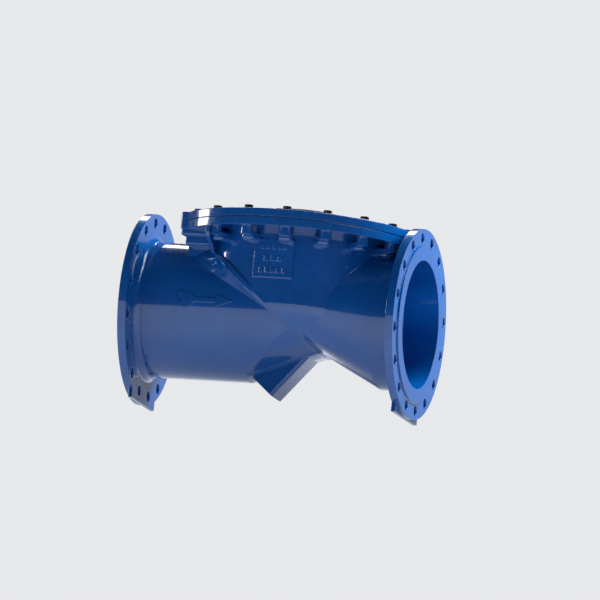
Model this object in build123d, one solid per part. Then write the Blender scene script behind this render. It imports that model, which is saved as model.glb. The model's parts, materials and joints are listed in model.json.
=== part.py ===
from build123d import *
import math
import os

# Flanged, resilient-seated swing check valve with an inclined seat, DN 350 PN 16.
# Millimetres. X runs along the pipe axis in the direction of flow, +Z is up, and the
# origin is the centre of the inlet flange's raised face.

# ---------------------------------------------------------------- driving dimensions
BORE_R = 175.0                     # DN 350
FACE_TO_FACE = 787.0               # EN 558 basic series 10
FLANGE_R = 260.0                   # EN 1092-2 PN 16: outside diameter 520
FLANGE_T = 26.5                    # thickness with the raised face
RAISED_R = 215.0
RAISED_H = 4.0
FLANGE_PCD = 470.0
FLANGE_HOLES = 16
FLANGE_HOLE_R = 14.0
HOLE_CHAMFER = 1.5
TUBE_R = 184.0                     # outside of the cast pipe ends
NECK_FILLET = 20.0
END_BORE_L = 130.0                 # machined length of the inlet bore
PASSAGE_R = 177.0                  # cast passage behind it

FOOT_W = 225.0
FOOT_T = 10.5

SEAT_TILT = 40.0                   # seat plane to the horizontal
SEAT_X, SEAT_Z = 360.0, 41.0       # centre of the seat
SEAT_BORE_R = 175.0
SEAT_RING_R = 190.0
SEAT_RING_PROUD = 3.0
SEAT_RING_DEPTH = 9.0
SEAT_WALL = 22.0                   # iron between the inlet passage and the seat face

CHAMBER_X = 426.0                  # axis of the upright access chamber
CHAMBER_R = 252.0
CHAMBER_WALL = 12.0
CHAMBER_DEPTH = 100.0              # rounded bottom below the pipe axis
COLLAR_A, COLLAR_B = 221.0, 240.0  # body outline at the seat plane, down slope and across
RIB_PROUD = 7.0
RIB_T = 17.0
FLARE_TILT = 29.0                  # the inlet side widens from a plane of this tilt
FLARE_END = 73.0                   # degrees round the seat from its lower end
OUTLET_X = 690.0                   # where the outlet side is round again
UNDERSIDE_RISE = 21.6              # degrees

DECK_Z = 200.0                     # underside of the body's top flange
DECK_T = 22.0
DECK_R = 325.0
DECK_END_X = 136.0                 # flat inlet end of the top flange and bonnet
DECK_END_HALF = 186.0
DECK_CORNER_R = 9.0
GASKET_T = 2.0
BONNET_T = 22.0
BONNET_DOME_R = 251.0
BONNET_DOME_H = 40.0
BONNET_WALL = 14.0
BOLT_CIRCLE_R = 296.0
BOLT_FIRST = 17.9                  # degrees from the outlet end's bolt to the next
BOLT_STEP = 21.5                   # degrees between the others
BOLTS_PER_SIDE = 7
END_BOLT_X = 160.0
END_BOLT_Y = (-92.0, 0.0, 92.0)
BAR_X, BAR_Z, BAR_HALF = 243.0, 168.0, 183.0  # bar under the inlet end of the top flange
HINGE_NECK_X, HINGE_NECK_HALF = 150.0, 129.0
M14_R, M14_AF, M14_HEAD, M14_WASHER_R, M14_WASHER_T = 7.0, 21.0, 8.8, 14.0, 3.0
M14_CLEAR_R = 7.75
M14_DEPTH = 38.0                   # thread below the split line

PAD_HALF_W = 50.0                  # pad for a backflow device, under the seat
PAD_FROM, PAD_TO = 128.0, 203.0
PAD_LENGTH = 178.5
PAD_PLUG_R = 21.0

PIN_SLOPE, PIN_RISE = -220.0, 15.0  # hinge pin in seat coordinates
PIN_R = 10.0
PIN_HALF = 112.0
RUNNING_CLEARANCE = 0.05
FLAP_R = 192.0
FLAP_OPEN = 35.0
EYE_R = 19.0
EYE_IN, EYE_OUT = 56.0, 82.0
BUSH_R = 13.0
BRACKET_IN, BRACKET_OUT = 85.0, 107.0
POCKET_HALF = 116.0
POCKET_X = 178.5

BIG = 1500.0
OVAL_POINTS = 12
TOP_Z = DECK_Z + DECK_T
GASKET_TOP_Z = TOP_Z + GASKET_T
BONNET_TOP_Z = GASKET_TOP_Z + BONNET_T

# ---------------------------------------------------------------- frames and helpers
tilt = math.radians(SEAT_TILT)
SEAT = Plane(origin=(SEAT_X, 0, SEAT_Z),
             x_dir=(math.cos(tilt), 0, -math.sin(tilt)),
             z_dir=(math.sin(tilt), 0, math.cos(tilt)))
UP = (Align.CENTER, Align.CENTER, Align.MIN)


def seat_point(slope, rise):
    """World X and Z of a point given down the seat's slope and off its face."""
    return (SEAT_X + slope * math.cos(tilt) + rise * math.sin(tilt),
            SEAT_Z - slope * math.sin(tilt) + rise * math.cos(tilt))


PIN_X, PIN_Z = seat_point(PIN_SLOPE, PIN_RISE)


def at_seat(slope=0.0, y=0.0, rise=0.0):
    return SEAT * Pos(slope, y, rise)


def span_box(x0, x1, y0, y1, z0, z1):
    return Pos((x0 + x1) / 2, (y0 + y1) / 2, (z0 + z1) / 2) * Box(x1 - x0, y1 - y0, z1 - z0)


def seat_box(x0, x1, y0, y1, z0, z1):
    return SEAT * span_box(x0, x1, y0, y1, z0, z1)


def pipe(radius, x0, x1):
    return Pos(x0, 0, 0) * Rot(0, 90, 0) * Cylinder(radius, x1 - x0, align=UP)


def post(radius, z0, z1, x=0.0, y=0.0):
    return Pos(x, y, z0) * Cylinder(radius, z1 - z0, align=UP)


def cross_bar(radius, y0, y1, x, z):
    return Pos(x, y1, z) * Rot(90, 0, 0) * Cylinder(radius, y1 - y0, align=UP)


def hexagon(across_flats, height):
    return extrude(RegularPolygon(across_flats / 2, 6, major_radius=False), height)


def group(solids):
    return Compound(children=list(solids))


def bonnet_bolt_places():
    """Centre of each bonnet bolt: an arc of bolts and a row across the inlet end."""
    angles = [0.0]
    for k in range(BOLTS_PER_SIDE):
        angles += [BOLT_FIRST + k * BOLT_STEP, -BOLT_FIRST - k * BOLT_STEP]
    places = []
    for a in map(math.radians, angles):
        places.append((CHAMBER_X + BOLT_CIRCLE_R * math.cos(a), BOLT_CIRCLE_R * math.sin(a)))
    places += [(END_BOLT_X, y) for y in END_BOLT_Y]
    return places


def deck_outline(inset=0.0):
    """Top flange outline: a disc with a square-cornered, flat inlet end."""
    x0 = DECK_END_X + inset
    half = DECK_END_HALF - inset
    disc = Pos(CHAMBER_X, 0) * Circle(DECK_R - inset)
    corner = Pos((x0 + CHAMBER_X) / 2, 0) * RectangleRounded(CHAMBER_X - x0, 2 * half, DECK_CORNER_R)
    keep = Pos(x0 + BIG / 2, 0) * Rectangle(BIG, BIG)
    return (disc + corner) & keep


# ---------------------------------------------------------------- body casting
def end_flange():
    """Flange, raised face and fillet to the tube, at the inlet end."""
    f = NECK_FILLET
    outline = Polyline((0, 0), (0, RAISED_R), (RAISED_H, RAISED_R), (RAISED_H, FLANGE_R),
                       (FLANGE_T, FLANGE_R), (FLANGE_T, TUBE_R + f))
    hollow = RadiusArc((FLANGE_T, TUBE_R + f), (FLANGE_T + f, TUBE_R), f)
    if hollow.center().Y > (2 * TUBE_R + f) / 2:
        hollow = RadiusArc((FLANGE_T, TUBE_R + f), (FLANGE_T + f, TUBE_R), -f)
    close = Polyline((FLANGE_T + f, TUBE_R), (FLANGE_T + f, 0), (0, 0))
    turned = revolve(make_face([outline, hollow, close]), Axis.X)
    foot = span_box(FLANGE_T - FOOT_T, FLANGE_T, -FOOT_W / 2, FOOT_W / 2, -FLANGE_R, -TUBE_R)
    solid = turned + foot
    for k in range(FLANGE_HOLES):
        a = math.radians((k + 0.5) * 360 / FLANGE_HOLES)
        y = FLANGE_PCD / 2 * math.sin(a)
        z = FLANGE_PCD / 2 * math.cos(a)
        wide = FLANGE_HOLE_R + HOLE_CHAMFER + 1
        solid -= Pos(-1, y, z) * Rot(0, 90, 0) * Cylinder(FLANGE_HOLE_R, FLANGE_T + 2, align=UP)
        solid -= Pos(RAISED_H - 1, y, z) * Rot(0, 90, 0) * Cone(wide, FLANGE_HOLE_R, HOLE_CHAMFER + 1, align=UP)
        solid -= Pos(FLANGE_T - HOLE_CHAMFER, y, z) * Rot(0, 90, 0) \
            * Cone(FLANGE_HOLE_R, wide, HOLE_CHAMFER + 1, align=UP)
    return solid


def outlet_flange():
    return Pos(FACE_TO_FACE, 0, 0) * Rot(0, 0, 180) * end_flange()


def belly_trim(shrink=0.0):
    """What is cut off below the belly, so that the tube runs up into the seat's rib."""
    rise = math.radians(UNDERSIDE_RISE)
    lower = Plane(origin=(SEAT_X, 0, SEAT_Z), x_dir=(math.cos(rise), 0, math.sin(rise)),
                  z_dir=(-math.sin(rise), 0, math.cos(rise)))
    block = lower * span_box(-600, 500, -400, 400, -600, 0)
    back = (-math.cos(rise), 0, -math.sin(rise))
    tunnel = extrude(at_seat() * oval(COLLAR_A - shrink, COLLAR_B - shrink), BIG / 2, dir=back)
    return block - tunnel


def oval(down, across):
    """Ellipse drawn as two halves that meet at its lowest and highest points, for lofting."""
    points = []
    for k in range(OVAL_POINTS + 1):
        a = math.pi * k / OVAL_POINTS
        points.append((down * math.cos(a), across * math.sin(a)))
    half = Spline(*points, tangents=[(0, 1), (0, -1)])
    back = Spline(*[(x, -y) for x, y in reversed(points)], tangents=[(0, -1), (0, 1)])
    return make_face([half, back])


def upper_oval(down, across):
    """The part of the same ellipse that lies above the seat's middle, closed by a straight line."""
    low, high = math.radians(FLARE_END), math.radians(360 - FLARE_END)
    points = []
    for k in range(OVAL_POINTS + 1):
        a = low + (high - low) * k / OVAL_POINTS
        points.append((down * math.cos(a), across * math.sin(a)))
    return make_face([Spline(*points), Line(points[-1], points[0])])


def outlet_cone(shrink, end_r, rise):
    start = at_seat(rise=rise) * oval(COLLAR_A - shrink, COLLAR_B - shrink)
    end = Plane(origin=(OUTLET_X, 0, 0), x_dir=(0, 0, -1), z_dir=(1, 0, 0)) * oval(end_r, end_r)
    return loft([start, end], ruled=True)


def upright_chamber(shrink, top):
    """The access chamber under the bonnet: an upright cylinder with a rounded bottom."""
    r, depth = CHAMBER_R - shrink, CHAMBER_DEPTH - shrink
    quarter = Ellipse(r, depth) & (Pos(r / 2, -depth / 2) * Rectangle(r, depth))
    bottom = revolve(Plane.XZ * quarter, Axis.Z)
    return Pos(CHAMBER_X, 0, 0) * bottom + post(r, 0, top, CHAMBER_X)


def seat_rib():
    """Rib round the body in the plane of the seat, flush at the lower end."""
    rib = extrude(at_seat(rise=-RIB_T / 2) * oval(COLLAR_A + 1, COLLAR_B + RIB_PROUD), RIB_T)
    return chamfer(rib.edges().filter_by(lambda e: e.length > 100), 3)


def rib_root(side):
    """Web that carries the rib up to the end of the bar under the top flange."""
    outline = [(140, 120), (188, 136), (207, 147), (224, 157), (244, 165), (256, 172), (261, 182), (262, DECK_Z),
               (140, DECK_Z)]
    face = Plane(origin=(BAR_X - 11, 0, 0), x_dir=(0, 1, 0), z_dir=(1, 0, 0)) \
        * make_face(Polyline(*[(side * y, z) for y, z in outline], close=True))
    return extrude(face, 11) & seat_box(-BIG, BIG, -BIG, BIG, -RIB_T / 2, BIG)


def inlet_flare():
    """Widens the tube from a plane that leans less than the seat, up to the seat's rib."""
    lean = math.radians(FLARE_TILT)
    start = Plane(origin=(362, 0, 14), x_dir=(math.cos(lean), 0, -math.sin(lean)),
                  z_dir=(math.sin(lean), 0, math.cos(lean)))
    return loft([start * upper_oval(327, TUBE_R), at_seat() * upper_oval(COLLAR_A - 2, COLLAR_B - 4)], ruled=True)


def inlet_side():
    """Inlet tube with its belly, and the flare up to the seat's rib."""
    upstream = seat_box(-BIG, BIG, -BIG, BIG, -BIG, 0)
    return ((pipe(TUBE_R, FLANGE_T, 640) & upstream) + inlet_flare()) - belly_trim()


def hinge_end():
    """Thick bar and neck under the flat inlet end of the top flange."""
    bar = span_box(DECK_END_X + 3, BAR_X, -BAR_HALF, BAR_HALF, BAR_Z + 14, DECK_Z)
    bar = fillet(bar.edges().filter_by(Axis.Z), 8)
    bar = fillet(bar.edges().group_by(Axis.Z)[0], 6)
    step = span_box(DECK_END_X + 16, BAR_X - 6, -BAR_HALF + 8, BAR_HALF - 8, BAR_Z - 10, BAR_Z + 16)
    step = fillet(step.edges().filter_by(Axis.Z), 6)
    step = fillet(step.edges().group_by(Axis.Z)[0], 5)
    neck = span_box(HINGE_NECK_X, 366, -HINGE_NECK_HALF, HINGE_NECK_HALF, 60, BAR_Z + 1)
    return bar + step + (neck & seat_box(-BIG, BIG, -BIG, BIG, -BIG, 0))


def bolt_bosses():
    bosses = []
    for x, y in bonnet_bolt_places():
        dx = x - CHAMBER_X
        if x < BAR_X:
            continue
        column = post(16.5, 176, DECK_Z + 1, x, y)
        k = 253 / BOLT_CIRCLE_R
        root = extrude(SlotCenterToCenter(58, 39), 26)
        root = fillet(root.edges().group_by(Axis.Z)[0] + root.edges().group_by(Axis.Z)[-1], 8)
        turn = Rot(0, 0, math.degrees(math.atan2(y, dx)))
        bosses += [column, Pos(CHAMBER_X + dx * k, y * k, 163) * turn * root]
    return bosses


def backflow_pad():
    pad = seat_box(PAD_FROM, PAD_TO, -PAD_HALF_W, PAD_HALF_W, -PAD_LENGTH, -20)
    long_edges = pad.edges().filter_by(lambda e: abs(e.tangent_at(0).dot(SEAT.z_dir)) > 0.99)
    return fillet(long_edges.sort_by(Axis.X)[-2:], 9)


def name_plate():
    """Cast plate on the near wall, with blank raised bars in place of lettering."""
    face_y = -(CHAMBER_R + 2)
    plate = span_box(372, 484, face_y, -200, 66, 173)
    plate = fillet(plate.edges().group_by(Axis.Y)[0], 2.5)
    bars = []
    for row, z in enumerate((152, 119.5, 87)):
        count, width = ((5, 11), (3, 14), (5, 11))[row]
        for k in range(count):
            x = 428 + (k - (count - 1) / 2) * (width + 5)
            bars.append(span_box(x - width / 2, x + width / 2, face_y - 1.2, face_y + 2, z - 7, z + 7))
    return [plate] + bars


def flow_arrow():
    z = 6
    upper = [(146, 22), (180, 22), (197, 6), (257, 6), (257, 17), (304, 0)]
    lower = [(x, -rise) for x, rise in reversed(upper[:-1])]
    points = [(x, z + rise) for x, rise in upper + lower + [(163, 0)]]
    face = Plane.XZ * make_face(Polyline(*points, close=True))
    arrow = extrude(face, 300)
    return (arrow & pipe(TUBE_R + 3.5, 100, 320)) - pipe(TUBE_R - 4, 90, 330)


def inlet_passage():
    cast = pipe(PASSAGE_R, END_BORE_L, 620) & seat_box(-BIG, BIG, -BIG, BIG, -BIG, -SEAT_WALL)
    cast -= belly_trim(14)
    port = at_seat(rise=-40) * Cylinder(SEAT_BORE_R, 41, align=UP)
    return pipe(BORE_R, -1, END_BORE_L + 1) + cast + port


def outlet_passage():
    downstream = seat_box(-BIG, BIG, -BIG, BIG, 0, BIG)
    shrink = CHAMBER_WALL
    room = upright_chamber(shrink, TOP_Z + 1) + outlet_cone(shrink, BORE_R - 1, -1)
    return (room & downstream) + pipe(BORE_R, OUTLET_X - 2, FACE_TO_FACE + 1)


def hinge_pocket():
    pocket = seat_box(-300, -150, -POCKET_HALF, POCKET_HALF, -6, 140)
    return pocket & span_box(POCKET_X, 420, -POCKET_HALF, POCKET_HALF, 0, TOP_Z + 1)


def make_body():
    downstream = seat_box(-BIG, BIG, -BIG, BIG, 0, BIG)
    chamber = upright_chamber(0, DECK_Z + 1) & downstream
    cone = outlet_cone(0, TUBE_R - 0.4, 0)
    outlet = pipe(TUBE_R, OUTLET_X - 1, FACE_TO_FACE - FLANGE_T)
    deck = extrude(Pos(0, 0, DECK_Z) * deck_outline(), DECK_T)
    solid = inlet_side() + cone + outlet + chamber + seat_rib()
    solid += [end_flange(), outlet_flange(), deck, hinge_end(), backflow_pad(), rib_root(1), rib_root(-1)]
    solid += bolt_bosses()
    solid += name_plate()
    solid += flow_arrow()
    solid -= [inlet_passage(), outlet_passage(), hinge_pocket()]
    solid -= at_seat(rise=-SEAT_RING_DEPTH) * Cylinder(SEAT_RING_R, 60, align=UP)
    for x, y in bonnet_bolt_places():
        solid -= post(M14_R, TOP_Z - M14_DEPTH - 2, TOP_Z + 1, x, y)
    solid -= pad_plug_space()
    return solid


# ---------------------------------------------------------------- seat and plugs
def seat_ring():
    ring = at_seat(rise=-SEAT_RING_DEPTH) * Cylinder(SEAT_RING_R, SEAT_RING_DEPTH + SEAT_RING_PROUD, align=UP)
    ring = chamfer(ring.edges().group_by(Axis(SEAT.origin, SEAT.z_dir))[-1], 1.5)
    return ring - at_seat(rise=-40) * Cylinder(SEAT_BORE_R, 80, align=UP)


PAD_MID = (PAD_FROM + PAD_TO) / 2
PLUG_DEPTH = 24.0


def pad_plug_space():
    return at_seat(PAD_MID, 0, -PAD_LENGTH - 1) * Cylinder(PAD_PLUG_R, PLUG_DEPTH + 3, align=UP)


def socket_plug(radius, depth, key):
    plug = Cylinder(radius, depth, align=UP)
    plug = chamfer(plug.edges().filter_by(GeomType.CIRCLE), 1.5)
    return plug - hexagon(key, depth * 0.55)


def pad_plug():
    return at_seat(PAD_MID, 0, -PAD_LENGTH + 1) * socket_plug(PAD_PLUG_R, PLUG_DEPTH, 22)


# ---------------------------------------------------------------- bonnet
def dome(rise, foot_r, base_z):
    """Spherical cap, rising by `rise` over a circle of radius `foot_r`."""
    ball_r = (foot_r ** 2 + rise ** 2) / (2 * rise)
    ball = Pos(CHAMBER_X, 0, base_z + rise - ball_r) * Sphere(ball_r)
    return ball & post(foot_r, base_z, base_z + rise + 1, CHAMBER_X)


OPEN_LEAN = math.radians(SEAT_TILT - FLAP_OPEN)
STOP_REACH = 268.0                 # from the hinge pin to the stop, along the open flap
STOP_BACK = 45.0                   # back of the flap's stop boss, off the seat face
STOP = Plane(origin=(PIN_X + STOP_REACH * math.cos(OPEN_LEAN) + (STOP_BACK - PIN_RISE) * math.sin(OPEN_LEAN),
                     0,
                     PIN_Z - STOP_REACH * math.sin(OPEN_LEAN) + (STOP_BACK - PIN_RISE) * math.cos(OPEN_LEAN)),
             x_dir=(math.cos(OPEN_LEAN), 0, -math.sin(OPEN_LEAN)),
             z_dir=(math.sin(OPEN_LEAN), 0, math.cos(OPEN_LEAN)))
BUMPER_GAP = 0.5
BUMPER_T = 16.0
BUMPER_R = 27.0
VENT_X = 360.0
VENT_R = 13.0
BRACKET_BOLT_X = (PIN_X + 31, PIN_X + 53)
BRACKET_MID = (BRACKET_IN + BRACKET_OUT) / 2
M10_R = 5.0


def bracket_bolt_places():
    return [(x, side * BRACKET_MID) for side in (-1, 1) for x in BRACKET_BOLT_X]


def make_bonnet():
    plate = extrude(Pos(0, 0, GASKET_TOP_Z) * deck_outline(), BONNET_T)
    plate = chamfer(plate.edges().group_by(Axis.Z)[-1], 1.5)
    solid = plate + dome(BONNET_DOME_H, BONNET_DOME_R, BONNET_TOP_Z - 0.5)
    ribs = dome(BONNET_DOME_H + 6, BONNET_DOME_R - 6, BONNET_TOP_Z - 0.5)
    for y in (-70, 70):
        solid += ribs & span_box(0, 900, y - 7, y + 7, 200, 320)
    solid += post(24, BONNET_TOP_Z, 288, VENT_X)
    room = dome(BONNET_DOME_H + 2, BONNET_DOME_R - 28, GASKET_TOP_Z - 0.01)
    room -= span_box(100, PIN_X + 68, -POCKET_HALF, POCKET_HALF, 200, 300)
    solid -= room
    solid -= post(BONNET_DOME_R - 28, GASKET_TOP_Z - 1, GASKET_TOP_Z, CHAMBER_X)
    seat = STOP * Pos(0, 0, BUMPER_GAP + BUMPER_T) * Cylinder(BUMPER_R + 4, 60, align=UP)
    solid += seat & dome(BONNET_DOME_H, BONNET_DOME_R, BONNET_TOP_Z - 0.5)
    solid += seat & span_box(0, 900, -100, 100, 200, BONNET_TOP_Z)
    for x, y in bonnet_bolt_places():
        solid -= post(M14_CLEAR_R, GASKET_TOP_Z - 1, BONNET_TOP_Z + 1, x, y)
    for x, y in bracket_bolt_places():
        solid -= post(M10_R, GASKET_TOP_Z - 1, GASKET_TOP_Z + 21, x, y)
    solid -= STOP * Pos(0, 0, 0) * Cylinder(4, 40, align=UP)
    solid -= post(VENT_R, 200, 320, VENT_X)
    return solid


def make_gasket():
    sheet = extrude(Pos(0, 0, TOP_Z) * deck_outline(2.0), GASKET_T)
    sheet -= post(CHAMBER_R - CHAMBER_WALL + 1, TOP_Z - 1, GASKET_TOP_Z + 1, CHAMBER_X)
    sheet -= span_box(POCKET_X - 0.5, 330, -POCKET_HALF - 1, POCKET_HALF + 1, TOP_Z - 1, GASKET_TOP_Z + 1)
    for x, y in bonnet_bolt_places():
        sheet -= post(M14_CLEAR_R, TOP_Z - 1, GASKET_TOP_Z + 1, x, y)
    return sheet


def hex_bolt(radius, across_flats, head, length):
    """Head above Z = 0, shank below."""
    cap = hexagon(across_flats, head) & Cone(across_flats * 0.5 + head * 1.8, across_flats * 0.5, head * 1.0,
                                             align=UP)
    shank = Pos(0, 0, -length) * Cylinder(radius, length + 0.5, align=UP)
    return cap + chamfer(shank.edges().group_by(Axis.Z)[0], radius * 0.2)


def washer(outer, inner, thick):
    return Cylinder(outer, thick, align=UP) - Pos(0, 0, -1) * Cylinder(inner, thick + 2, align=UP)


SEAT_OF_BOLT = BONNET_TOP_Z


def bonnet_bolts():
    length = SEAT_OF_BOLT + M14_WASHER_T - (TOP_Z - M14_DEPTH)
    for x, y in bonnet_bolt_places():
        yield Pos(x, y, SEAT_OF_BOLT + M14_WASHER_T) * Rot(0, 0, 30) * hex_bolt(M14_R, M14_AF, M14_HEAD, length)


def bonnet_washers():
    for x, y in bonnet_bolt_places():
        yield Pos(x, y, SEAT_OF_BOLT) * washer(M14_WASHER_R, M14_CLEAR_R, M14_WASHER_T)


def vent_plug():
    shank = post(VENT_R, 266, 288, VENT_X)
    head = Pos(VENT_X, 0, 290) * hexagon(24, 7)
    return shank + post(16, 290, 291.5, VENT_X) + post(VENT_R - 1, 286, 291, VENT_X) + head


def vent_seal():
    return Pos(VENT_X, 0, 288) * washer(17, VENT_R - 0.8, 2.0)


def stop_bumper():
    puck = STOP * Pos(0, 0, BUMPER_GAP) * Cylinder(BUMPER_R, BUMPER_T, align=UP)
    puck = chamfer(puck.edges().filter_by(GeomType.CIRCLE).sort_by(Axis.Z)[:1], 2)
    head_room = STOP * Cylinder(10, BUMPER_GAP + 8, align=UP)
    return puck - head_room - STOP * Cylinder(4.2, 40, align=UP)


def stop_screw():
    head = STOP * Pos(0, 0, BUMPER_GAP + 3) * Cylinder(7, 5, align=UP)
    head -= STOP * Pos(0, 0, BUMPER_GAP + 3) * hexagon(6, 3)
    return head + STOP * Pos(0, 0, BUMPER_GAP + 7) * Cylinder(4, 31, align=UP)


# ---------------------------------------------------------------- hinge
FOOT_Z = GASKET_TOP_Z - 12


def hinge_bracket(side):
    y0, y1 = sorted((side * BRACKET_IN, side * BRACKET_OUT))
    foot = span_box(PIN_X - EYE_R, PIN_X + 64, y0, y1, FOOT_Z, GASKET_TOP_Z)
    lug = cross_bar(EYE_R, y0, y1, PIN_X, PIN_Z)
    cheek = span_box(PIN_X - EYE_R, PIN_X + EYE_R, y0, y1, PIN_Z, FOOT_Z + 1)
    solid = foot + lug + cheek - cross_bar(PIN_R, y0 - 1, y1 + 1, PIN_X, PIN_Z)
    for x, y in bracket_bolt_places():
        if y * side > 0:
            solid -= post(M10_R + 0.5, FOOT_Z - 1, GASKET_TOP_Z + 1, x, y)
    return solid


def bracket_bolts():
    for x, y in bracket_bolt_places():
        yield Pos(x, y, FOOT_Z - 2) * Rot(180, 0, 0) * hex_bolt(M10_R, 16, 6.4, 32)


def bracket_washers():
    for x, y in bracket_bolt_places():
        yield Pos(x, y, FOOT_Z - 2) * washer(9, M10_R + 0.25, 2)


GROOVE_Y = BRACKET_OUT + 0.2
CIRCLIP_T = 1.2


def hinge_pin():
    pin = cross_bar(PIN_R, -PIN_HALF, PIN_HALF, PIN_X, PIN_Z)
    pin = chamfer(pin.edges().filter_by(GeomType.CIRCLE), 1)
    for side in (-1, 1):
        y0, y1 = sorted((side * GROOVE_Y, side * (GROOVE_Y + CIRCLIP_T)))
        pin -= cross_bar(PIN_R + 1, y0, y1, PIN_X, PIN_Z) - cross_bar(PIN_R - 0.8, y0, y1, PIN_X, PIN_Z)
    return pin


def pin_circlips():
    for side in (-1, 1):
        y0, y1 = sorted((side * GROOVE_Y, side * (GROOVE_Y + CIRCLIP_T)))
        ring = cross_bar(PIN_R + 3, y0, y1, PIN_X, PIN_Z) - cross_bar(PIN_R - 0.8, y0 - 1, y1 + 1, PIN_X, PIN_Z)
        gap = span_box(PIN_X, PIN_X + 20, y0 - 1, y1 + 1, PIN_Z - 3, PIN_Z + 3)
        yield ring - gap


def hinge_bushes():
    for side in (-1, 1):
        y0, y1 = sorted((side * EYE_IN, side * EYE_OUT))
        yield cross_bar(BUSH_R, y0, y1, PIN_X, PIN_Z) \
            - cross_bar(PIN_R + RUNNING_CLEARANCE, y0 - 1, y1 + 1, PIN_X, PIN_Z)


def thrust_washers():
    for side in (-1, 1):
        y0, y1 = sorted((side * (EYE_OUT + 0.3), side * (BRACKET_IN - 0.2)))
        yield cross_bar(16, y0, y1, PIN_X, PIN_Z) \
            - cross_bar(PIN_R + 0.3, y0 - 1, y1 + 1, PIN_X, PIN_Z)


# ---------------------------------------------------------------- flap
RUBBER_FACE = SEAT_RING_PROUD + 0.3
RUBBER_T = 10.0
DISC_FACE = RUBBER_FACE + RUBBER_T
DISC_T = 16.0
RETAINER_R = 150.0
RETAINER_T = 8.0
RETAINER_FACE = DISC_FACE - 4.0 - RETAINER_T
SCREW_CIRCLE_R = 132.0
SCREWS = 8


def screw_places():
    for k in range(SCREWS):
        a = math.radians((k + 0.5) * 360 / SCREWS)
        yield SCREW_CIRCLE_R * math.cos(a), SCREW_CIRCLE_R * math.sin(a)


def flap_disc():
    """Cast disc with two hinge arms, a cross of ribs and a stop boss on its back."""
    back = DISC_FACE + DISC_T
    disc = at_seat(rise=DISC_FACE) * Cylinder(FLAP_R - 2, DISC_T, align=UP)
    disc = fillet(disc.edges().filter_by(GeomType.CIRCLE), 3)
    rim = at_seat(rise=back - 1) * (Cylinder(FLAP_R - 16, 7, align=UP) - Cylinder(FLAP_R - 30, 9, align=UP))
    solid = disc + rim
    for side in (-1, 1):
        y0, y1 = sorted((side * EYE_IN, side * EYE_OUT))
        arm = seat_box(PIN_SLOPE, 110, y0 + 4, y1 - 4, back - 4, STOP_BACK - 6)
        arm = arm - seat_box(-300, -170, y0 - 1, y1 + 1, back + 4, 60)
        link = seat_box(PIN_SLOPE, -150, y0, y1, PIN_RISE - 1, back + 4)
        solid += [arm, link, cross_bar(EYE_R, y0, y1, PIN_X, PIN_Z)]
    stop_slope = PIN_SLOPE + STOP_REACH
    solid += seat_box(stop_slope - 9, stop_slope + 9, -EYE_IN - 6, EYE_IN + 6, back - 2, STOP_BACK - 6)
    solid += at_seat(stop_slope, 0, back - 2) * Cylinder(30, STOP_BACK - back + 2, align=UP)
    for side in (-1, 1):
        y0, y1 = sorted((side * (EYE_IN - 1), side * (EYE_OUT + 1)))
        solid -= cross_bar(BUSH_R, y0, y1, PIN_X, PIN_Z)
    for x, y in screw_places():
        solid -= at_seat(x, y, DISC_FACE - 1) * Cylinder(M10_R, 13, align=UP)
    return solid


def flap_rubber():
    """Moulded rubber seal ring, thinned where the retainer clamps it."""
    ring = at_seat(rise=RUBBER_FACE) * Cylinder(FLAP_R, RUBBER_T, align=UP)
    ring = fillet(ring.edges().filter_by(GeomType.CIRCLE).sort_by(Axis.Z)[:1], 3)
    ring -= at_seat(rise=RUBBER_FACE - 1) * Cylinder(RETAINER_R + 0.5, RUBBER_T - 4 + 1, align=UP)
    return ring - at_seat(rise=0) * Cylinder(112, 30, align=UP)


def flap_retainer():
    plate = at_seat(rise=RETAINER_FACE) * Cylinder(RETAINER_R, RETAINER_T, align=UP)
    plate = chamfer(plate.edges().filter_by(GeomType.CIRCLE).sort_by(Axis.Z)[:1], 2)
    plate += at_seat(rise=RETAINER_FACE + RETAINER_T) * Cylinder(112, 4, align=UP)
    for x, y in screw_places():
        plate -= at_seat(x, y, RETAINER_FACE - 1) * Cylinder(M10_R + 0.5, 20, align=UP)
    return plate


def rubber_with_holes():
    ring = flap_rubber()
    for x, y in screw_places():
        ring -= at_seat(x, y, 0) * Cylinder(M10_R + 0.5, 30, align=UP)
    return ring


def flap_screws():
    for x, y in screw_places():
        yield at_seat(x, y, RETAINER_FACE - 2) * Rot(180, 0, 0) * hex_bolt(M10_R, 16, 6.4, 24)


def flap_screw_washers():
    for x, y in screw_places():
        yield at_seat(x, y, RETAINER_FACE - 2) * washer(9.5, M10_R + 0.25, 2)


# ---------------------------------------------------------------- write the parts
NODES = {
    "body": make_body,
    "seat_ring": seat_ring,
    "pad_plug": pad_plug,
    "bonnet": make_bonnet,
    "bonnet_gasket": make_gasket,
    "bonnet_bolts": lambda: group(bonnet_bolts()),
    "bonnet_washers": lambda: group(bonnet_washers()),
    "vent_plug": vent_plug,
    "vent_plug_seal": vent_seal,
    "stop_bumper": stop_bumper,
    "stop_screw": stop_screw,
    "hinge_bracket_left": lambda: hinge_bracket(1),
    "hinge_bracket_right": lambda: hinge_bracket(-1),
    "bracket_bolts": lambda: group(bracket_bolts()),
    "bracket_washers": lambda: group(bracket_washers()),
    "hinge_pin": hinge_pin,
    "pin_circlips": lambda: group(pin_circlips()),
    "thrust_washers": lambda: group(thrust_washers()),
    "hinge_bushes": lambda: group(hinge_bushes()),
    "flap_disc": flap_disc,
    "flap_seal": rubber_with_holes,
    "flap_retainer": flap_retainer,
    "flap_screws": lambda: group(flap_screws()),
    "flap_screw_washers": lambda: group(flap_screw_washers()),
}

os.makedirs("parts", exist_ok=True)
for node, make in NODES.items():
    export_step(make(), f"parts/{node}.step")
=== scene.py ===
import json
import math

import bpy
from mathutils import Matrix, Vector


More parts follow.
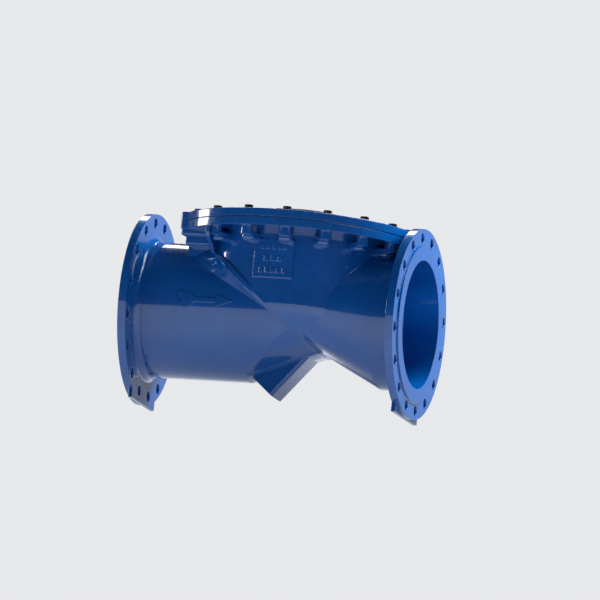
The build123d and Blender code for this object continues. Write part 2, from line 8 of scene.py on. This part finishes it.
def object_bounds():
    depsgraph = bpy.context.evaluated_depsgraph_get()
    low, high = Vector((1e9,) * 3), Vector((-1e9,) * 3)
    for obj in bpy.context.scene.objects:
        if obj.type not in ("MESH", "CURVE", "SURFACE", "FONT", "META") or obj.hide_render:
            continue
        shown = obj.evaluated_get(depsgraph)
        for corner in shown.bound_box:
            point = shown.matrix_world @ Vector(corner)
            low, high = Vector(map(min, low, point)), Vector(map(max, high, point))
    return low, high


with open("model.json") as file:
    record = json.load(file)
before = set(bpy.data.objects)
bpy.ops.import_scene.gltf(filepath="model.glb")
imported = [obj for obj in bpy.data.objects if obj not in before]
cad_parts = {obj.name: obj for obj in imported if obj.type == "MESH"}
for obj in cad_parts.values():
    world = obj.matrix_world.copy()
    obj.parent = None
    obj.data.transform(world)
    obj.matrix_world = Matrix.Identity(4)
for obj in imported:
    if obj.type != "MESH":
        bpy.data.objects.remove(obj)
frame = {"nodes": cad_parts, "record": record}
SIZE_AT_LOAD = [list(v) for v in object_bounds()]
NODES = frame["nodes"]
LOWEST_Z = SIZE_AT_LOAD[0][2]


# ---------------------------------------------------------------- camera
# Axes of the view: it looks slightly up at the valve, from the plate's side and a little from the outlet.
CAM_RIGHT = Vector((0.9590177, 0.2658495, 0.0980265))
CAM_UP = Vector((-0.0527185, -0.1725059, 0.9835967))
CAM_BACK = Vector((0.2783988, -0.9484544, -0.1514210))
CAM_WIDTH = 1.630
CAM_DISTANCE = 6.0
MID = Vector((0.406637, 0.0, 0.0))
SHIFT_RIGHT = 0.03733
SHIFT_UP = 0.04702
AIM = MID + SHIFT_RIGHT * CAM_RIGHT + SHIFT_UP * CAM_UP


def add_camera():
    """Parallel view, so that the size on the picture doesn't depend on the distance."""
    data = bpy.data.cameras.new("camera")
    data.type = "ORTHO"
    data.ortho_scale = CAM_WIDTH
    data.clip_start = 0.1
    data.clip_end = 60
    cam = bpy.data.objects.new("camera", data)
    bpy.context.scene.collection.objects.link(cam)
    turn = Matrix((CAM_RIGHT, CAM_UP, CAM_BACK)).transposed().to_4x4()
    cam.matrix_world = Matrix.Translation(AIM + CAM_BACK * CAM_DISTANCE) @ turn
    bpy.context.scene.camera = cam


add_camera()


# ---------------------------------------------------------------- material helpers
class Shader:
    """Small helper that builds a node tree one call at a time."""

    def __init__(self, name):
        self.mat = bpy.data.materials.new(name)
        self.mat.use_nodes = True
        self.tree = self.mat.node_tree
        self.tree.nodes.clear()
        self.out = self.node("ShaderNodeOutputMaterial")
        self.bsdf = self.node("ShaderNodeBsdfPrincipled")
        self.link(self.bsdf.outputs[0], self.out.inputs["Surface"])
        self.coords = self.node("ShaderNodeTexCoord").outputs["Object"]

    def node(self, kind, **values):
        n = self.tree.nodes.new(kind)
        for key, value in values.items():
            setattr(n, key, value)
        return n

    def link(self, a, b):
        self.tree.links.new(a, b)

    def set(self, **values):
        """Uniform values, with each space in a socket's name written as _."""
        for key, value in values.items():
            self.bsdf.inputs[key.replace("_", " ")].default_value = value

    def noise(self, scale, detail=4.0, rough=0.55, stretch=None):
        """Noise in object space; stretch squeezes it along X, Y and Z, as brushing does."""
        n = self.node("ShaderNodeTexNoise")
        n.inputs["Scale"].default_value = scale
        n.inputs["Detail"].default_value = detail
        n.inputs["Roughness"].default_value = rough
        if stretch:
            m = self.node("ShaderNodeMapping")
            m.inputs["Scale"].default_value = stretch
            self.link(self.coords, m.inputs["Vector"])
            self.link(m.outputs[0], n.inputs["Vector"])
        else:
            self.link(self.coords, n.inputs["Vector"])
        return n.outputs["Fac"]

    def ramp(self, value, a, b, lo, hi):
        """Maps value from [a, b] to [lo, hi], clamped."""
        n = self.node("ShaderNodeMapRange")
        n.inputs["From Min"].default_value = a
        n.inputs["From Max"].default_value = b
        n.inputs["To Min"].default_value = lo
        n.inputs["To Max"].default_value = hi
        self.link(value, n.inputs["Value"])
        return n.outputs[0]

    def mix(self, fac, a, b):
        """Colour a where fac is 0 and b where it is 1; each is a tuple or a socket."""
        n = self.node("ShaderNodeMix", data_type="RGBA")
        self.link(fac, n.inputs["Factor"])
        for socket, value in ((n.inputs[6], a), (n.inputs[7], b)):
            if isinstance(value, tuple):
                socket.default_value = (*value, 1.0)
            else:
                self.link(value, socket)
        return n.outputs[2]

    def bump(self, height, distance, strength=1.0, under=None):
        n = self.node("ShaderNodeBump")
        n.inputs["Distance"].default_value = distance
        n.inputs["Strength"].default_value = strength
        self.link(height, n.inputs["Height"])
        if under is not None:
            self.link(under, n.inputs["Normal"])
        return n.outputs[0]

    def round_edges(self, radius):
        """Shades sharp edges as if they had this radius, in metres."""
        n = self.node("ShaderNodeBevel", samples=4)
        n.inputs["Radius"].default_value = radius
        return n.outputs[0]

    def to(self, value, name):
        self.link(value, self.bsdf.inputs[name])


def blue_coat(name, deep=(0.0008, 0.071, 0.285), light=(0.0012, 0.082, 0.318)):
    """Thick glossy coating over a casting: a smooth coat, faint orange peel and slow waves."""
    s = Shader(name)
    cloud = s.noise(9.0, 3.0)
    s.to(s.mix(s.ramp(cloud, 0.35, 0.65, 0.0, 1.0), deep, light), "Base Color")
    s.to(s.ramp(s.noise(40.0, 2.0), 0.3, 0.7, 0.22, 0.34), "Roughness")
    s.set(Specular_IOR_Level=0.25, Coat_Weight=1.0, Coat_IOR=1.62)
    s.to(s.ramp(s.noise(25.0, 3.0), 0.3, 0.7, 0.006, 0.022), "Coat Roughness")
    waves = s.bump(s.noise(11.0, 2.0), 0.0003, 0.05, s.round_edges(0.0022))
    peel = s.bump(s.noise(230.0, 2.0), 0.00002, 0.12, waves)
    s.to(peel, "Normal")
    s.to(peel, "Coat Normal")
    return s.mat


def metal(name, colour, rough, scale=(1.0, 1.0, 1.0), metallic=1.0):
    """Bare or blackened metal with tool marks, stains and slightly rounded edges."""
    s = Shader(name)
    dark = tuple(c * 0.62 for c in colour)
    stain = s.ramp(s.noise(45.0, 5.0), 0.35, 0.68, 0.0, 1.0)
    s.to(s.mix(stain, colour, dark), "Base Color")
    marks = s.noise(260.0, 4.0, 0.6, scale)
    s.to(s.ramp(marks, 0.3, 0.7, rough * 0.7, rough * 1.4), "Roughness")
    s.set(Metallic=metallic)
    s.to(s.bump(marks, 0.00012, 0.35, s.round_edges(0.0006)), "Normal")
    return s.mat


def soft(name, colour, rough, speckle):
    """Rubber or fibre sheet: matt, with fine grain and paler dust."""
    s = Shader(name)
    pale = tuple(c + speckle for c in colour)
    dust = s.ramp(s.noise(420.0, 3.0), 0.52, 0.72, 0.0, 1.0)
    s.to(s.mix(dust, colour, pale), "Base Color")
    s.to(s.ramp(s.noise(90.0), 0.3, 0.7, rough * 0.85, rough), "Roughness")
    s.to(s.bump(s.noise(700.0, 3.0), 0.00012, 0.5, s.round_edges(0.0008)), "Normal")
    return s.mat


MATERIALS = {
    "blue_cast_iron": blue_coat("blue_cast_iron"),
    "blue_plug": blue_coat("blue_plug"),
    "ductile_iron": blue_coat("ductile_iron", (0.002, 0.045, 0.26), (0.003, 0.058, 0.31)),
    "black_bolt": metal("black_bolt", (0.045, 0.046, 0.050), 0.30, metallic=0.75),
    "gasket_fibre": soft("gasket_fibre", (0.012, 0.013, 0.015), 0.9, 0.02),
    "rubber": soft("rubber", (0.014, 0.014, 0.014), 0.65, 0.012),
    "stainless": metal("stainless", (0.62, 0.61, 0.59), 0.24, (1.0, 1.0, 6.0)),
    "spring_steel": metal("spring_steel", (0.22, 0.21, 0.23), 0.34),
    "brass": metal("brass", (0.66, 0.45, 0.19), 0.26, (1.0, 6.0, 1.0)),
    "copper": metal("copper", (0.72, 0.36, 0.24), 0.34),
}


def dress_nodes():
    """Gives every CAD piece the material that its record names."""
    for part in frame["record"]["subparts"]:
        mesh = NODES[part["node"]].data
        mesh.materials.clear()
        mesh.materials.append(MATERIALS[part["material_slot"]])


dress_nodes()


# ---------------------------------------------------------------- floor and light
FLOOR_Z = LOWEST_Z - 0.0005
FLOOR_HALF = 8.0
# The painted shadow pool is an ellipse of dimmer glow round the valve: floor points are scaled, then
# moved, so that its centre comes to 0.
PAINTED_SHADOW_SCALE = (1.33, 1.9, 1.0)
PAINTED_SHADOW_SHIFT = (-0.52, -0.33, 0.0)


def floor_material():
    """Pale floor with a painted shadow: it glows less in a pool round the valve, and is clear when seen
    from below.
    """
    s = Shader("floor")
    patches = s.ramp(s.noise(0.7), 0.3, 0.7, 0.0, 1.0)
    s.to(s.mix(patches, (0.045, 0.045, 0.045), (0.055, 0.055, 0.055)), "Base Color")
    s.set(Roughness=0.6, Emission_Color=(0.80, 0.87, 1.0, 1.0))
    place = s.node("ShaderNodeMapping")
    place.inputs["Location"].default_value = PAINTED_SHADOW_SHIFT
    place.inputs["Scale"].default_value = PAINTED_SHADOW_SCALE
    s.link(s.coords, place.inputs["Vector"])
    painted_shadow_reach = s.node("ShaderNodeVectorMath", operation="LENGTH")
    s.link(place.outputs[0], painted_shadow_reach.inputs[0])
    # Painted shadow: the glow rises from 0.26 at the pool's centre under the valve to 0.97 away from it.
    s.to(s.ramp(painted_shadow_reach.outputs["Value"], 0.25, 1.15, 0.26, 0.97), "Emission Strength")
    clear = s.node("ShaderNodeBsdfTransparent")
    side = s.node("ShaderNodeNewGeometry").outputs["Backfacing"]
    pick = s.node("ShaderNodeMixShader")
    s.link(side, pick.inputs[0])
    s.link(s.bsdf.outputs[0], pick.inputs[1])
    s.link(clear.outputs[0], pick.inputs[2])
    s.link(pick.outputs[0], s.out.inputs["Surface"])
    return s.mat


def add_floor():
    mesh = bpy.data.meshes.new("floor")
    turn = ((-1, -1), (1, -1), (1, 1), (-1, 1))
    corners = [(x * FLOOR_HALF, y * FLOOR_HALF, FLOOR_Z) for x, y in turn]
    mesh.from_pydata(corners, [], [(0, 1, 2, 3)])
    mesh.materials.append(floor_material())
    floor = bpy.data.objects.new("floor", mesh)
    bpy.context.scene.collection.objects.link(floor)


def add_lamp(name, place, aim, width, height, power):
    """Lamp for the diffuse light only: the softboxes that reflections show are drawn in the world."""
    data = bpy.data.lights.new(name, "AREA")
    data.shape = "RECTANGLE"
    data.size = width
    data.size_y = height
    data.energy = power
    lamp = bpy.data.objects.new(name, data)
    bpy.context.scene.collection.objects.link(lamp)
    lamp.location = place
    lamp.rotation_mode = "QUATERNION"
    lamp.rotation_quaternion = (Vector(aim) - Vector(place)).to_track_quat("-Z", "Y")
    lamp.visible_glossy = False


class Sky:
    """The studio round the valve, as a function of direction."""

    def __init__(self):
        world = bpy.data.worlds.new("studio")
        bpy.context.scene.world = world
        world.use_nodes = True
        self.tree = world.node_tree
        self.back = self.tree.nodes["Background"]
        self.direction = self.tree.nodes.new("ShaderNodeTexCoord").outputs["Generated"]

    def math(self, operation, a, b=None):
        n = self.tree.nodes.new("ShaderNodeMath")
        n.operation = operation
        self.tree.links.new(a, n.inputs[0])
        if b is not None:
            self.tree.links.new(b, n.inputs[1])
        return n.outputs[0]

    def along(self, axis):
        """How far the direction points along an axis, from -1 to 1."""
        n = self.tree.nodes.new("ShaderNodeVectorMath")
        n.operation = "DOT_PRODUCT"
        n.inputs[1].default_value = axis
        self.tree.links.new(self.direction, n.inputs[0])
        return n.outputs["Value"]

    def ramp(self, value, a, b, lo, hi):
        """Maps value from [a, b] to [lo, hi], clamped, with soft ends."""
        n = self.tree.nodes.new("ShaderNodeMapRange")
        n.interpolation_type = "SMOOTHSTEP"
        for name, number in (("From Min", a), ("From Max", b), ("To Min", lo), ("To Max", hi)):
            n.inputs[name].default_value = number
        self.tree.links.new(value, n.inputs["Value"])
        return n.outputs[0]

    def mix(self, fac, a, b):
        n = self.tree.nodes.new("ShaderNodeMix")
        n.data_type = "RGBA"
        self.tree.links.new(fac, n.inputs["Factor"])
        for socket, value in ((n.inputs[6], a), (n.inputs[7], b)):
            if isinstance(value, tuple):
                socket.default_value = (*value, 1.0)
            else:
                self.tree.links.new(value, socket)
        return n.outputs[2]

    def box(self, azimuth, elevation, half_wide, half_high, edge=1.5):
        """1 inside a rectangle of sky, 0 outside it; all in degrees."""
        az, el = math.radians(azimuth), math.radians(elevation)
        front = Vector((math.cos(az) * math.cos(el), math.sin(az) * math.cos(el), math.sin(el)))
        side = Vector((-math.sin(az), math.cos(az), 0))
        up = front.cross(side)
        ahead = self.along(front)
        inside = self.ramp(ahead, 0.0, 0.1, 0.0, 1.0)
        for axis, half in ((side, half_wide), (up, half_high)):
            angle = self.math("ABSOLUTE", self.math("ARCTAN2", self.along(axis), ahead))
            a, b = math.radians(half - edge), math.radians(half + edge)
            inside = self.math("MULTIPLY", inside, self.ramp(angle, a, b, 1.0, 0.0))
        return inside


# Lamps: name, place and aim in metres, width, height, watts.
LAMPS = (
    ("key", (3.0, -1.8, 1.2), (0.5, 0, 0), 1.6, 1.6, 7),
    ("end", (2.4, 1.6, 2.2), (0.8, 0, 0), 1.6, 1.6, 480),
    ("fill", (-1.6, -3.0, 1.4), (0.4, 0, 0), 2.0, 1.6, 9),
    ("top", (0.4, 0.2, 3.0), (0.4, 0, 0), 2.4, 2.4, 22),
)
# Softboxes that only reflections show: azimuth, elevation, half width, half height, brightness.
SKY_BOXES = (
    (174.5, 9, 8.5, 4, 11.0),
    (174.5, 22, 8.5, 9, 3.0),
    (111, 42, 14, 7, 5.0),
    (-5, 50, 22, 18, 4.5),
    (74, 9, 40, 14, 0.30),
)


def add_world():
    """Dark dome over a pale ground, with softboxes, behind a plain pale backdrop."""
    sky = Sky()
    height = sky.along((0, 0, 1))
    lower = sky.ramp(height, 0.06, 0.45, 0.0, 1.0)
    dome = sky.mix(lower, (0.026, 0.036, 0.056), (0.014, 0.020, 0.032))
    seen = sky.mix(sky.ramp(height, -0.006, 0.006, 0.0, 1.0), (0.74, 0.76, 0.80), dome)
    rays = sky.tree.nodes.new("ShaderNodeLightPath")
    for *place, power in SKY_BOXES:
        mirrored = sky.math("MULTIPLY", sky.box(*place), rays.outputs["Is Glossy Ray"])
        seen = sky.mix(mirrored, seen, (power, power, power))
    backdrop = sky.mix(sky.ramp(height, -0.06, -0.02, 0.0, 1.0), (0.95, 1.0, 1.0), (0.80, 0.81, 0.83))
    shown = sky.mix(rays.outputs["Is Camera Ray"], seen, backdrop)
    sky.tree.links.new(shown, sky.back.inputs["Color"])


add_floor()
add_world()
for lamp in LAMPS:
    add_lamp(*lamp)
bpy.context.scene.view_settings.view_transform = "Standard"
